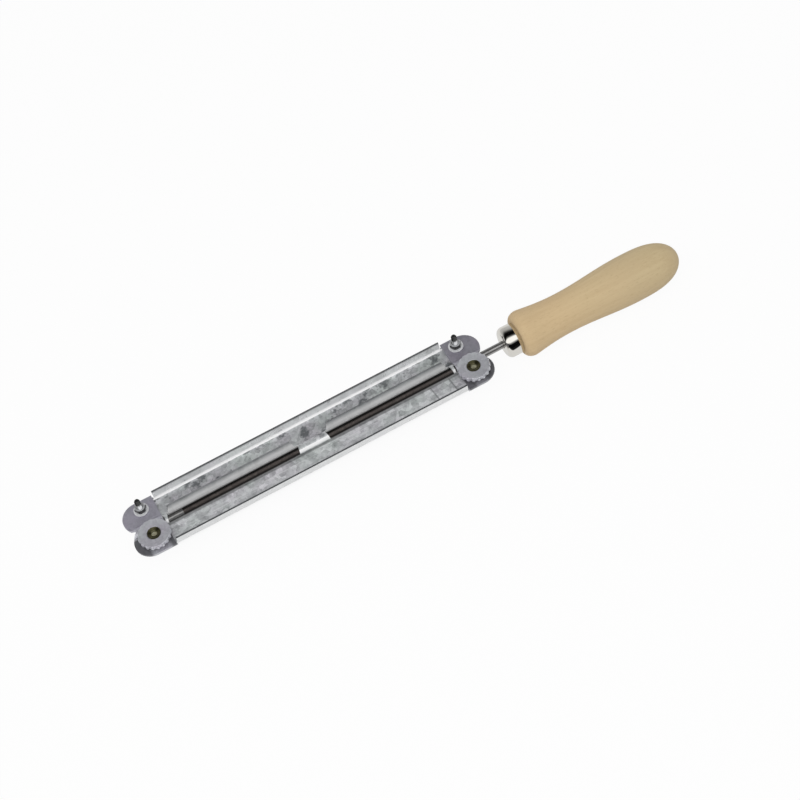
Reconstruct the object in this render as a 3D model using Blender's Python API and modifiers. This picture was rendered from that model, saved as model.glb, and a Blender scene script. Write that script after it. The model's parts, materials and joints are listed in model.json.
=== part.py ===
"""Chainsaw file guide with its round file and wooden handle, in metres, +Z up.

A galvanised sheet plate lies flat. A round file runs along +X in two long windows of the plate,
under a small arch at the middle and one at each end. At each end a two-lobed cap crosses over
the file, and a flat jaw crosses under it. The jaw turns on a hollow rivet together with a
scalloped grip disc, and a screw with a nut closes it. The handle stands on the file's tang.
"""
import math

import bmesh
import bpy
from mathutils import Matrix, Vector

# Round file: 5/32 inch by 8 inch. Its toe stops short of the lobes' centres, and a bare neck shows
# between the plate and the ferrule
FILE_RADIUS = 0.0020
FILE_LENGTH = 0.2032
FILE_TOE_INSET = 0.0008
FILE_NECK_LENGTH = 0.0100
FILE_TOE_CHAMFER = 0.0005
FILE_AXIS_DROP = 0.0005
TANG_LENGTH = 0.0450
TANG_ROOT_RADIUS = 0.0018
TANG_TIP_RADIUS = 0.0008

# Guide plate: a sheet channel, floor top at height zero before the part is set on its base
SHEET = 0.0008
PLATE_HALF_WIDTH = 0.0154
FLANGE_HEIGHT = 0.0051
FLANGE_SPLAY = 0.0006
FLANGE_END_SETBACK = 0.0098
FOLD_RADIUS = 0.0012
WINDOW_END_MARGIN = 0.0015
WINDOW_END_SLANT = 0.0007
BRIDGE_HALF_LENGTH = 0.0080
BRIDGE_SHIFT = 0.0010
ARCH_CLEARANCE = 0.00015
WINDOW_MARGIN = 0.00010
FLAP_HEIGHT = 0.0044
FLAP_END_SLANT = 0.0018
FLAP_END_GAP = 0.0004
FLAP_LEAN_DEG = 17.0
FLAP_SETBACK = 0.00005

# Two-lobed ends, shared by the plate and the caps that lie on it; the toe's end reaches further out
LOBE_RADIUS = 0.0089
LOBE_HALF_SPACING = 0.0078
LEFT_LOBE_REACH = 0.0012
PLATE_LOBE_INSET = 0.0006
BEND_RELIEF = 0.0003

# Clamp caps
CAP_SHEET = 0.0012
CAP_EDGE_ROUND = 0.00030

# Screws, washers and nuts: M3, placed from the far lobe's centre
SCREW_INSET = 0.0024
SCREW_OUTSET = 0.0032
SCREW_RADIUS = 0.0015
SCREW_TOP = 0.0110
SCREW_TIP_CHAMFER = 0.0004
SCREW_HEAD_RADIUS = 0.0028
SCREW_HEAD_ROUND = 0.0005
SCREW_SLOT_WIDTH = 0.0008
SCREW_SLOT_DEPTH = 0.0007
FOOT_HEIGHT = 0.0017
WASHER_RADIUS = 0.0040
WASHER_THICKNESS = 0.0006
NUT_SIDES = 6
NUT_ACROSS_FLATS = 0.0055
NUT_HEIGHT = 0.0024
NUT_CHAMFER = 0.00035

# Hollow rivets and grip discs, placed from the near lobe's centre
RIVET_INSET = 0.0014
RIVET_TO_FILE = 0.0003
RIVET_RADIUS = 0.0022
RIVET_BORE_RADIUS = 0.0014
RIVET_FLARE_RADIUS = 0.0035
RIVET_FLARE_DEPTH = 0.0009
RIVET_FOOT_RADIUS = 0.0034
DISC_RADIUS = 0.0086
DISC_THICKNESS = 0.0025
DISC_CHAMFER = 0.0004
DISC_HUB_RADIUS = 0.0031
SCALLOP_COUNT = 18
SCALLOP_RADIUS = 0.0012
SCALLOP_DEPTH = 0.0006

# Clamp jaws and the spacers on their rivets
JAW_THICKNESS = 0.0015
JAW_HALF_WIDTH = 0.0040
SPACER_RADIUS = 0.0036

# Ferrule
FERRULE_RADIUS = 0.00845
FERRULE_LENGTH = 0.0088
FERRULE_WALL = 0.0008
FERRULE_FRONT_ROUND = 0.0030

# Handle
HANDLE_LENGTH = 0.0960
HANDLE_BELLY_RADIUS = 0.0130
HANDLE_WAIST_RADIUS = 0.0108
HANDLE_BEAD_RADIUS = 0.0127
HANDLE_FACE_RADIUS = 0.0100
HANDLE_BORE_RADIUS = 0.0023
HANDLE_BORE_TIP_RADIUS = 0.0013

# Stations along the handle as shares of its length, from its front face
BEAD_SHARE = 0.052
WAIST_SHARE = 0.290
BELLY_SHARE = 0.700

# Shape of the handle's line: how early the neck falls, and how blunt the end is
NECK_POWER = 0.62
END_POWER = 3.0

# Fineness of the surfaces
ROUND_STEPS = 24
DISC_STEPS = 36
FINE_STEPS = 40
LOBE_STEPS = 20
ARC_STEPS = 10
ARCH_STEPS = 12
FOLD_STEPS = 4
SCALLOP_STEPS = 16
EDGE_SEGMENTS = 2
FERRULE_ROUND_STEPS = 4
BEAD_STEPS = 5
HANDLE_STATIONS = 26
SHARP_DEG = 35.0
EDGE_DEG = 60.0
FLAT_DEG = 1.0

# General
GAP = 0.0003
OVERRUN = 0.0020
MERGE = 0.000001

# Heights and places that follow from the sizes above
LOBE_X = (FILE_LENGTH + FILE_TOE_INSET - FILE_NECK_LENGTH - LOBE_RADIUS) / 2
PLATE_END_X = LOBE_X + LOBE_RADIUS
PLATE_REACH_X = PLATE_END_X + LEFT_LOBE_REACH + OVERRUN
FLANGE_HALF_LENGTH = LOBE_X - FLANGE_END_SETBACK
WINDOW_OUTER_END = FLANGE_HALF_LENGTH - WINDOW_END_MARGIN
SCREW_Y = LOBE_HALF_SPACING + SCREW_OUTSET
RIVET_X = LOBE_X - RIVET_INSET
RIVET_Y = RIVET_TO_FILE - LOBE_HALF_SPACING
FILE_Z = -FILE_AXIS_DROP
ARCH_INNER = FILE_RADIUS + ARCH_CLEARANCE
ARCH_OUTER = ARCH_INNER + SHEET
WINDOW_HALF_WIDTH = ARCH_OUTER + WINDOW_MARGIN
CAP_INNER_EDGE = LOBE_X - LOBE_RADIUS
LOBE_START_X = FLANGE_HALF_LENGTH + BEND_RELIEF
SLOT_START_X = LOBE_START_X - WINDOW_MARGIN
CAP_BOTTOM = GAP
CAP_TOP = CAP_BOTTOM + CAP_SHEET
CAP_ARCH_INNER = FILE_RADIUS + GAP
CAP_ARCH_TOP = FILE_Z + CAP_ARCH_INNER + CAP_SHEET
DISC_BOTTOM = CAP_ARCH_TOP + GAP
DISC_TOP = DISC_BOTTOM + DISC_THICKNESS
JAW_TOP = FILE_Z - FILE_RADIUS - GAP
JAW_BOTTOM = JAW_TOP - JAW_THICKNESS
FOOT_BOTTOM = JAW_BOTTOM - GAP - FOOT_HEIGHT
WASHER_BOTTOM = CAP_TOP + GAP
NUT_BOTTOM = WASHER_BOTTOM + WASHER_THICKNESS + GAP
FERRULE_FRONT_X = PLATE_END_X + FILE_NECK_LENGTH
HANDLE_FRONT_X = FERRULE_FRONT_X + FERRULE_LENGTH
HANDLE_END_X = HANDLE_FRONT_X + HANDLE_LENGTH

# The part's own frame: origin below the middle of its outline, at the height of its lowest point
BASE_X = (PLATE_END_X + LEFT_LOBE_REACH - HANDLE_END_X) / 2
BASE_Z = HANDLE_BELLY_RADIUS - FILE_Z


def new_collection(name):
    """Adds a collection to the scene."""
    collection = bpy.data.collections.new(name)
    bpy.context.scene.collection.children.link(collection)
    return collection


def new_material(name, colour, metallic, roughness):
    """A plain Principled material."""
    material = bpy.data.materials.new(name)
    material.use_nodes = True
    shader = material.node_tree.nodes["Principled BSDF"]
    shader.inputs["Base Color"].default_value = (*colour, 1.0)
    shader.inputs["Metallic"].default_value = metallic
    shader.inputs["Roughness"].default_value = roughness
    return material


for old_object in list(bpy.data.objects):
    bpy.data.objects.remove(old_object)

PARTS = new_collection("chainsaw_file_guide")
CUTTERS = new_collection("cutters")

GALVANISED = new_material("galvanised_sheet", (0.33, 0.34, 0.35), 0.9, 0.45)
ZINC = new_material("zinc_plated_steel", (0.30, 0.30, 0.33), 0.9, 0.35)
OLIVE = new_material("yellow_passivated_steel", (0.20, 0.19, 0.08), 0.9, 0.40)
FASTENER = new_material("fastener_steel", (0.30, 0.30, 0.29), 0.9, 0.35)
FILE_STEEL = new_material("file_steel", (0.10, 0.10, 0.10), 0.9, 0.45)
NICKEL = new_material("nickel_plated_steel", (0.66, 0.64, 0.60), 1.0, 0.12)
BEECH = new_material("beech_wood", (0.60, 0.45, 0.26), 0.0, 0.50)


def new_empty(name, place, parent=None):
    """An empty that carries pieces; place is given in its parent's frame."""
    empty = bpy.data.objects.new(name, None)
    empty.location = place
    empty.parent = parent
    PARTS.objects.link(empty)
    return empty


def add_object(name, mesh, material=None, parent=None, place=(0, 0, 0)):
    """Links a mesh as a sub-part, or as a cutter when it has no material."""
    piece = bpy.data.objects.new(name, mesh)
    piece.location = place
    piece.parent = parent
    if material is None:
        CUTTERS.objects.link(piece)
        piece.hide_render = True
        piece.display_type = "WIRE"
    else:
        PARTS.objects.link(piece)
        mesh.materials.append(material)
    return piece


def finished_mesh(drawn):
    """Makes a drawn object's final shape a mesh, and removes the drawing."""
    CUTTERS.objects.link(drawn)
    mesh = bpy.data.meshes.new_from_object(drawn.evaluated_get(bpy.context.evaluated_depsgraph_get()))
    bpy.data.objects.remove(drawn)
    return mesh


def arc(centre, radius, start_deg, end_deg, steps):
    """Points on an arc, both ends included."""
    points = []
    for step in range(steps + 1):
        angle = math.radians(start_deg + (end_deg - start_deg) * step / steps)
        points.append((centre[0] + radius * math.cos(angle), centre[1] + radius * math.sin(angle)))
    return points


def fillet(before, corner, after, radius, steps):
    """Points that round the corner of a line with an arc."""
    corner = Vector(corner)
    towards_before = (Vector(before) - corner).normalized()
    towards_after = (Vector(after) - corner).normalized()
    half_angle = towards_before.angle(towards_after) / 2
    centre = corner + (towards_before + towards_after).normalized() * (radius / math.sin(half_angle))
    start = corner + towards_before * (radius / math.tan(half_angle)) - centre
    end = corner + towards_after * (radius / math.tan(half_angle)) - centre
    points = []
    for step in range(steps + 1):
        way = start.lerp(end, step / steps).normalized() * radius
        points.append(tuple(centre + way))
    return points


def flat_mesh(name, outline, bottom, top):
    """A flat solid from a filled 2D curve, made a mesh and welded."""
    curve = bpy.data.curves.new(name, "CURVE")
    curve.dimensions = "2D"
    curve.fill_mode = "BOTH"
    curve.extrude = (top - bottom) / 2
    spline = curve.splines.new("POLY")
    spline.points.add(len(outline) - 1)
    for point, (x, y) in zip(spline.points, outline):
        point.co = (x, y, 0, 1)
    spline.use_cyclic_u = True
    mesh = finished_mesh(bpy.data.objects.new(name, curve))
    bpy.data.curves.remove(curve)
    shape = bmesh.new()
    shape.from_mesh(mesh)
    bmesh.ops.remove_doubles(shape, verts=shape.verts, dist=MERGE)
    flat = math.radians(FLAT_DEG)
    bmesh.ops.dissolve_limit(shape, angle_limit=flat, verts=shape.verts, edges=shape.edges)
    bmesh.ops.translate(shape, verts=shape.verts, vec=(0, 0, (top + bottom) / 2))
    bmesh.ops.recalc_face_normals(shape, faces=shape.faces)
    shape.to_mesh(mesh)
    shape.free()
    return mesh


def line_mesh(name, points, closed=False):
    """A line in the XZ plane, for a Screw modifier; points are radius and height."""
    mesh = bpy.data.meshes.new(name)
    edges = [(index, index + 1) for index in range(len(points) - 1)]
    if closed:
        edges.append((len(points) - 1, 0))
    mesh.from_pydata([(radius, 0, height) for radius, height in points], edges, [])
    return mesh


def turned(name, profile, material, parent, place=(0, 0, 0), closed=False, steps=ROUND_STEPS):
    """A turned piece about its own Z axis; the profile runs down the outer side."""
    line = line_mesh(name, profile, closed)
    drawn = bpy.data.objects.new(name, line)
    screw = drawn.modifiers.new("turn", "SCREW")
    screw.steps = steps
    screw.render_steps = steps
    screw.use_merge_vertices = True
    screw.merge_threshold = MERGE
    weld = drawn.modifiers.new("weld", "WELD")
    weld.merge_threshold = MERGE
    mesh = finished_mesh(drawn)
    bpy.data.meshes.remove(line)
    mesh.shade_smooth()
    mesh.set_sharp_from_angle(angle=math.radians(SHARP_DEG))
    return add_object(name, mesh, material, parent, place)


def cylinder_cutter(name, place, radius, bottom, top, steps=ROUND_STEPS):
    """A round cutter with its axis upright."""
    shape = bmesh.new()
    middle = Matrix.Translation((place[0], place[1], (bottom + top) / 2))
    size = {"radius1": radius, "radius2": radius, "depth": top - bottom}
    bmesh.ops.create_cone(shape, cap_ends=True, segments=steps, matrix=middle, **size)
    mesh = bpy.data.meshes.new(name)
    shape.to_mesh(mesh)
    shape.free()
    return mesh


def joined_cutter(name, meshes, parent):
    """One cutter made of separate bodies."""
    shape = bmesh.new()
    for mesh in meshes:
        shape.from_mesh(mesh)
        bpy.data.meshes.remove(mesh)
    whole = bpy.data.meshes.new(name)
    shape.to_mesh(whole)
    shape.free()
    return add_object(name, whole, parent=parent)


def boolean(piece, operation, other):
    """An exact Boolean modifier."""
    modifier = piece.modifiers.new(operation.lower() + "_" + other.name, "BOOLEAN")
    modifier.operation = operation
    modifier.object = other
    modifier.solver = "EXACT"


def bent_sheet(name, section, thickness, start_x, end_x, material, parent):
    """Sheet metal: a section line in the YZ plane drawn along X and given its thickness."""
    shape = bmesh.new()
    line = [shape.verts.new((start_x, y, z)) for y, z in section]
    edges = [shape.edges.new((line[index], line[index + 1])) for index in range(len(line) - 1)]
    drawn = bmesh.ops.extrude_edge_only(shape, edges=edges)
    moved = [item for item in drawn["geom"] if isinstance(item, bmesh.types.BMVert)]
    bmesh.ops.translate(shape, verts=moved, vec=(end_x - start_x, 0, 0))
    bmesh.ops.recalc_face_normals(shape, faces=shape.faces)
    mesh = bpy.data.meshes.new(name)
    shape.to_mesh(mesh)
    shape.free()
    piece = add_object(name, mesh, material, parent)
    solid = piece.modifiers.new("sheet", "SOLIDIFY")
    solid.thickness = thickness
    solid.offset = 0
    solid.use_even_offset = True
    return piece


def arch_line(middle_radius, floor_height):
    """An arch over the file that springs from a floor at the given height."""
    foot_deg = math.degrees(math.asin((floor_height - FILE_Z) / middle_radius))
    return arc((0, FILE_Z), middle_radius, 180 - foot_deg, foot_deg, ARCH_STEPS)


def lobe_x(side):
    """Place of one end's lobe centres along X, counted outwards; side is -1 towards the toe."""
    return LOBE_X + (LEFT_LOBE_REACH if side < 0 else 0)


def screw_place(side):
    """Place of one end's screw."""
    return (side * (lobe_x(side) - SCREW_INSET), SCREW_Y, 0)


def lobed_end(radius, inner_x, side):
    """Outline of a two-lobed end with a straight inner edge."""
    notch_deg = math.degrees(math.asin(LOBE_HALF_SPACING / radius))
    centre = (lobe_x(side), LOBE_HALF_SPACING)
    far = [(inner_x, LOBE_HALF_SPACING + radius)] + arc(centre, radius, 90, -notch_deg, LOBE_STEPS)
    outline = far + [(x, -y) for x, y in reversed(far[:-1])]
    return [(side * x, y) for x, y in outline]


def channel_outline(tongue_half_width):
    """The channel seen from above: full width along the flanges, then a flat tongue at each end."""
    beyond = PLATE_HALF_WIDTH + FLANGE_SPLAY + OVERRUN
    quarter = [
        (LOBE_X, tongue_half_width),
        (FLANGE_HALF_LENGTH, tongue_half_width),
        (FLANGE_HALF_LENGTH, beyond),
    ]
    far = quarter + [(-x, y) for x, y in reversed(quarter)]
    return far + [(x, -y) for x, y in reversed(far)]


def window_outline(start_x, end_x, start_slant, end_slant):
    """A window seen from above; each slant lengthens the near edge at that end."""
    return [
        (start_x - start_slant, -WINDOW_HALF_WIDTH),
        (end_x + end_slant, -WINDOW_HALF_WIDTH),
        (end_x - end_slant, WINDOW_HALF_WIDTH),
        (start_x + start_slant, WINDOW_HALF_WIDTH),
    ]


def fastener_holes(side, below, above):
    """Cutters for one end's screw and rivet, which pass through both the plate and the cap."""
    screw = cylinder_cutter("screw_hole", screw_place(side), SCREW_RADIUS + GAP, below, above)
    rivet = cylinder_cutter("rivet_hole", (side * RIVET_X, RIVET_Y), RIVET_RADIUS + GAP, below, above)
    return [screw, rivet]


def make_plate(root):
    """The sheet channel with its windows, arches, flaps, lobed ends and holes."""
    floor = -SHEET / 2
    arch = arch_line(ARCH_INNER + SHEET / 2, floor)
    top = (PLATE_HALF_WIDTH + FLANGE_SPLAY, FLANGE_HEIGHT)
    bend = fillet(top, (PLATE_HALF_WIDTH, floor), arch[-1], FOLD_RADIUS, FOLD_STEPS)
    right_half = bend[::-1] + [top]
    section = [(-y, z) for y, z in reversed(right_half)] + arch + right_half
    reach = PLATE_REACH_X
    plate = bent_sheet("guide_plate", section, SHEET, -reach, reach, GALVANISED, root)

    below = -SHEET - OVERRUN
    above = FLANGE_HEIGHT + OVERRUN
    tongue = channel_outline(bend[-1][0] - WINDOW_MARGIN)
    kept = flat_mesh("channel_outline", tongue, below, above)
    boolean(plate, "INTERSECT", add_object("channel_outline", kept, parent=root))

    for side, side_name in ((-1, "left"), (1, "right")):
        lobes = lobed_end(LOBE_RADIUS - PLATE_LOBE_INSET, LOBE_START_X, side)
        name = f"{side_name}_plate_end"
        boolean(plate, "UNION", add_object(name, flat_mesh(name, lobes, -SHEET, 0), parent=root))

    windows = []
    for side in (-1, 1):
        slant = WINDOW_END_SLANT
        bridge_end = BRIDGE_HALF_LENGTH + side * BRIDGE_SHIFT
        inner = window_outline(bridge_end, WINDOW_OUTER_END, -slant, slant)
        outer = window_outline(SLOT_START_X, reach, 0, 0)
        for number, shape in enumerate((inner, outer)):
            turned_shape = [(side * x, y) for x, y in shape]
            windows.append(flat_mesh(f"window_{side}_{number}", turned_shape, below, above))
    boolean(plate, "DIFFERENCE", joined_cutter("window_cutters", windows, root))

    lean = math.radians(FLAP_LEAN_DEG)
    for side, side_name in ((-1, "left"), (1, "right")):
        start_x = BRIDGE_HALF_LENGTH + side * BRIDGE_SHIFT + WINDOW_END_SLANT + FLAP_END_GAP
        end_x = WINDOW_OUTER_END - WINDOW_END_SLANT - FLAP_END_GAP
        flap_shape = [
            (side * start_x, -SHEET / 2),
            (side * end_x, -SHEET / 2),
            (side * (end_x - FLAP_END_SLANT), FLAP_HEIGHT),
            (side * (start_x + FLAP_END_SLANT), FLAP_HEIGHT),
        ]
        mesh = flat_mesh(f"{side_name}_flap", flap_shape, -SHEET, 0)
        mesh.transform(Matrix.Rotation(math.pi / 2 - lean, 4, "X"))
        flap = add_object(f"{side_name}_flap", mesh, parent=root)
        flap.location = (0, WINDOW_HALF_WIDTH + FLAP_SETBACK, 0)
        boolean(plate, "UNION", flap)

    holes = fastener_holes(-1, below, above) + fastener_holes(1, below, above)
    boolean(plate, "DIFFERENCE", joined_cutter("plate_holes", holes, root))
    even = plate.modifiers.new("even_triangles", "TRIANGULATE")
    even.ngon_method = "BEAUTY"
    return plate


def make_cap(side, side_name, root):
    """A two-lobed cap with a straight inner edge that arches over the file."""
    middle = (CAP_BOTTOM + CAP_TOP) / 2
    arch = arch_line(CAP_ARCH_INNER + CAP_SHEET / 2, middle)
    reach_y = LOBE_HALF_SPACING + LOBE_RADIUS + OVERRUN
    section = [(-reach_y, middle)] + arch + [(reach_y, middle)]
    start_x = side * (CAP_INNER_EDGE - OVERRUN)
    end_x = side * PLATE_REACH_X
    name = f"{side_name}_clamp_cap"
    cap = bent_sheet(name, section, CAP_SHEET, min(start_x, end_x), max(start_x, end_x), ZINC, root)
    below = CAP_BOTTOM - OVERRUN
    above = CAP_ARCH_TOP + OVERRUN
    outline = lobed_end(LOBE_RADIUS, CAP_INNER_EDGE, side)
    shape = flat_mesh(f"{side_name}_cap_outline", outline, below, above)
    boolean(cap, "INTERSECT", add_object(f"{side_name}_cap_outline", shape, parent=root))
    holes = fastener_holes(side, below, above)
    boolean(cap, "DIFFERENCE", joined_cutter(f"{side_name}_cap_holes", holes, root))
    rounding = cap.modifiers.new("rolled_edges", "BEVEL")
    rounding.width = CAP_EDGE_ROUND
    rounding.segments = EDGE_SEGMENTS
    rounding.limit_method = "ANGLE"
    rounding.angle_limit = math.radians(EDGE_DEG)
    return cap


def make_jaw(side, side_name, axis):
    """A flat bar under the file; its open slot leaves the screw when the jaw swings in."""
    to_screw = Vector((screw_place(side)[0] - side * RIVET_X, SCREW_Y - RIVET_Y))
    length = to_screw.length
    outline = arc((0, length), JAW_HALF_WIDTH, 0, 180, ARC_STEPS)
    outline += arc((0, 0), JAW_HALF_WIDTH, 180, 360, ARC_STEPS)
    mesh = flat_mesh(f"{side_name}_clamp_jaw", outline, JAW_BOTTOM, JAW_TOP)
    jaw = add_object(f"{side_name}_clamp_jaw", mesh, ZINC, axis)
    turn = math.atan2(to_screw.y, to_screw.x) - math.pi / 2
    below = JAW_BOTTOM - OVERRUN
    above = JAW_TOP + OVERRUN
    slot_half = SCREW_RADIUS + GAP
    mouth_x = JAW_HALF_WIDTH + OVERRUN
    mouth_drop = length - math.sqrt(length ** 2 - mouth_x ** 2)
    slot = [
        (0, length + slot_half),
        (0, length - slot_half),
        (side * mouth_x, length - slot_half - mouth_drop),
        (side * mouth_x, length + slot_half),
    ]
    cuts = [
        cylinder_cutter("rivet_hole", (0, 0), RIVET_RADIUS + GAP, below, above),
        cylinder_cutter("slot_end", (0, length), slot_half, below, above),
    ]
    cutter = joined_cutter(f"{side_name}_jaw_holes", cuts, axis)
    mouth_shape = flat_mesh(f"{side_name}_jaw_mouth", slot, below, above)
    mouth = add_object(f"{side_name}_jaw_mouth", mouth_shape, parent=axis)
    boolean(jaw, "DIFFERENCE", cutter)
    boolean(jaw, "DIFFERENCE", mouth)
    for piece in (jaw, cutter, mouth):
        piece.rotation_euler = (0, 0, turn)
    return jaw


def make_rivet(side_name, axis):
    """A hollow rivet, flared into the disc and rolled under the jaw."""
    foot_top = JAW_BOTTOM - GAP
    shoulder = DISC_TOP - RIVET_FLARE_DEPTH
    profile = [
        (RIVET_FLARE_RADIUS - (RIVET_RADIUS - RIVET_BORE_RADIUS) / 2, DISC_TOP),
        (RIVET_FLARE_RADIUS, DISC_TOP - RIVET_FLARE_DEPTH / 4),
        (RIVET_RADIUS, shoulder),
        (RIVET_RADIUS, foot_top),
        (RIVET_FOOT_RADIUS, foot_top),
        (RIVET_FOOT_RADIUS, FOOT_BOTTOM + FOOT_HEIGHT / 3),
        (RIVET_FOOT_RADIUS - FOOT_HEIGHT / 3, FOOT_BOTTOM),
        (RIVET_BORE_RADIUS + FOOT_HEIGHT / 3, FOOT_BOTTOM),
        (RIVET_BORE_RADIUS, FOOT_BOTTOM + FOOT_HEIGHT / 3),
        (RIVET_BORE_RADIUS, shoulder),
    ]
    return turned(f"{side_name}_hollow_rivet", profile, OLIVE, axis, closed=True)


def make_disc(side_name, axis):
    """A grip disc with a chamfered, scalloped rim, a hub and a countersunk hole."""
    hole = RIVET_RADIUS + GAP
    sink = RIVET_FLARE_RADIUS + GAP
    profile = [
        (DISC_RADIUS - DISC_CHAMFER, DISC_TOP),
        (DISC_RADIUS, DISC_TOP - DISC_CHAMFER),
        (DISC_RADIUS, DISC_BOTTOM),
        (DISC_HUB_RADIUS, DISC_BOTTOM),
        (DISC_HUB_RADIUS, CAP_TOP + GAP),
        (hole, CAP_TOP + GAP),
        (hole, DISC_TOP - RIVET_FLARE_DEPTH - GAP),
        (sink, DISC_TOP - RIVET_FLARE_DEPTH / 4),
        (sink, DISC_TOP),
    ]
    name = f"{side_name}_grip_disc"
    disc = turned(name, profile, ZINC, axis, closed=True, steps=DISC_STEPS)
    away = DISC_RADIUS - SCALLOP_DEPTH + SCALLOP_RADIUS
    cuts = []
    for number in range(SCALLOP_COUNT):
        angle = 2 * math.pi * (number + 0.5) / SCALLOP_COUNT
        place = (away * math.cos(angle), away * math.sin(angle))
        below = DISC_BOTTOM - OVERRUN
        above = DISC_TOP + OVERRUN
        cuts.append(cylinder_cutter("scallop", place, SCALLOP_RADIUS, below, above, SCALLOP_STEPS))
    boolean(disc, "DIFFERENCE", joined_cutter(f"{side_name}_scallops", cuts, axis))
    return disc


def make_spacer(side_name, axis):
    """A ring on the rivet between the plate and the jaw."""
    top = -SHEET - GAP
    bottom = JAW_TOP + GAP
    hole = RIVET_RADIUS + GAP
    profile = [(SPACER_RADIUS, top), (SPACER_RADIUS, bottom), (hole, bottom), (hole, top)]
    return turned(f"{side_name}_rivet_spacer", profile, ZINC, axis, closed=True)


def make_screw(side, side_name, root):
    """A slotted screw that stands up through the jaw, the plate and the cap."""
    head_top = JAW_BOTTOM - GAP
    profile = [
        (0, SCREW_TOP),
        (SCREW_RADIUS - SCREW_TIP_CHAMFER, SCREW_TOP),
        (SCREW_RADIUS, SCREW_TOP - SCREW_TIP_CHAMFER),
        (SCREW_RADIUS, head_top),
        (SCREW_HEAD_RADIUS, head_top),
        (SCREW_HEAD_RADIUS, FOOT_BOTTOM + SCREW_HEAD_ROUND),
        (SCREW_HEAD_RADIUS - SCREW_HEAD_ROUND, FOOT_BOTTOM),
        (0, FOOT_BOTTOM),
    ]
    place = screw_place(side)
    screw = turned(f"{side_name}_clamp_screw", profile, FASTENER, root, place)
    half_slot = SCREW_SLOT_WIDTH / 2
    reach = SCREW_HEAD_RADIUS + OVERRUN
    slot = [(-reach, -half_slot), (reach, -half_slot), (reach, half_slot), (-reach, half_slot)]
    mesh = flat_mesh(f"{side_name}_slot", slot, FOOT_BOTTOM - OVERRUN, FOOT_BOTTOM + SCREW_SLOT_DEPTH)
    boolean(screw, "DIFFERENCE", add_object(f"{side_name}_slot", mesh, parent=root, place=place))
    return screw


def make_washer(side, side_name, root):
    """A plain washer on the cap."""
    top = WASHER_BOTTOM + WASHER_THICKNESS
    hole = SCREW_RADIUS + GAP
    profile = [(WASHER_RADIUS, top), (WASHER_RADIUS, WASHER_BOTTOM), (hole, WASHER_BOTTOM), (hole, top)]
    return turned(f"{side_name}_screw_washer", profile, FASTENER, root, screw_place(side), True)


def make_nut(side, side_name, root):
    """A hexagon nut: a chamfered turned blank cut to six flats."""
    corner = NUT_ACROSS_FLATS / 2 / math.cos(math.pi / NUT_SIDES)
    top = NUT_BOTTOM + NUT_HEIGHT
    hole = SCREW_RADIUS + GAP
    profile = [
        (corner - NUT_CHAMFER, top),
        (corner, top - NUT_CHAMFER / 2),
        (corner, NUT_BOTTOM + NUT_CHAMFER / 2),
        (corner - NUT_CHAMFER, NUT_BOTTOM),
        (hole, NUT_BOTTOM),
        (hole, top),
    ]
    place = screw_place(side)
    nut = turned(f"{side_name}_clamp_nut", profile, FASTENER, root, place, True)
    flats = arc((0, 0), corner, 0, 360 - 360 / NUT_SIDES, NUT_SIDES - 1)
    mesh = flat_mesh(f"{side_name}_flats", flats, NUT_BOTTOM - OVERRUN, top + OVERRUN)
    boolean(nut, "INTERSECT", add_object(f"{side_name}_flats", mesh, parent=root, place=place))
    return nut


def along_x(piece):
    """Lays a turned piece down so that its own Z axis points along +X."""
    piece.rotation_euler = (0, math.pi / 2, 0)
    return piece


def make_file(axis):
    """The round file and its tang; heights along the profile are places along X."""
    toe = FERRULE_FRONT_X - FILE_LENGTH
    heel = FERRULE_FRONT_X + FERRULE_WALL + GAP
    tang_end = heel + TANG_LENGTH
    profile = [
        (0, tang_end),
        (TANG_TIP_RADIUS, tang_end),
        (TANG_ROOT_RADIUS, heel + FILE_RADIUS),
        (FILE_RADIUS, heel),
        (FILE_RADIUS, toe + FILE_TOE_CHAMFER),
        (FILE_RADIUS - FILE_TOE_CHAMFER, toe),
        (0, toe),
    ]
    return along_x(turned("round_file", profile, FILE_STEEL, axis))


def make_ferrule(axis):
    """A nickel cup with a rounded front edge, open towards the handle."""
    front = FERRULE_FRONT_X
    rear = HANDLE_FRONT_X - GAP
    hole = FILE_RADIUS + GAP
    inner = FERRULE_RADIUS - FERRULE_WALL
    inner_round = FERRULE_FRONT_ROUND - FERRULE_WALL
    round_x = front + FERRULE_FRONT_ROUND
    centre = (FERRULE_RADIUS - FERRULE_FRONT_ROUND, round_x)
    outer_arc = arc(centre, FERRULE_FRONT_ROUND, 0, -90, FERRULE_ROUND_STEPS)
    inner_arc = arc(centre, inner_round, -90, 0, FERRULE_ROUND_STEPS)
    profile = [(FERRULE_RADIUS, rear)] + outer_arc + [(hole, front), (hole, front + FERRULE_WALL)]
    profile += inner_arc + [(inner, rear)]
    return along_x(turned("ferrule", profile, NICKEL, axis, closed=True, steps=FINE_STEPS))


def smooth_step(share):
    """Rises from 0 to 1 with level ends."""
    return (1 - math.cos(math.pi * share)) / 2


def handle_radius(share):
    """Radius of the wood behind its bead, at a share of the handle's length."""
    if share < WAIST_SHARE:
        way = smooth_step(((share - BEAD_SHARE) / (WAIST_SHARE - BEAD_SHARE)) ** NECK_POWER)
        return HANDLE_BEAD_RADIUS + (HANDLE_WAIST_RADIUS - HANDLE_BEAD_RADIUS) * way
    if share < BELLY_SHARE:
        way = smooth_step((share - WAIST_SHARE) / (BELLY_SHARE - WAIST_SHARE))
        return HANDLE_WAIST_RADIUS + (HANDLE_BELLY_RADIUS - HANDLE_WAIST_RADIUS) * way
    way = (share - BELLY_SHARE) / (1 - BELLY_SHARE)
    return HANDLE_BELLY_RADIUS * math.sqrt(max(0, 1 - way ** END_POWER))


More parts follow.
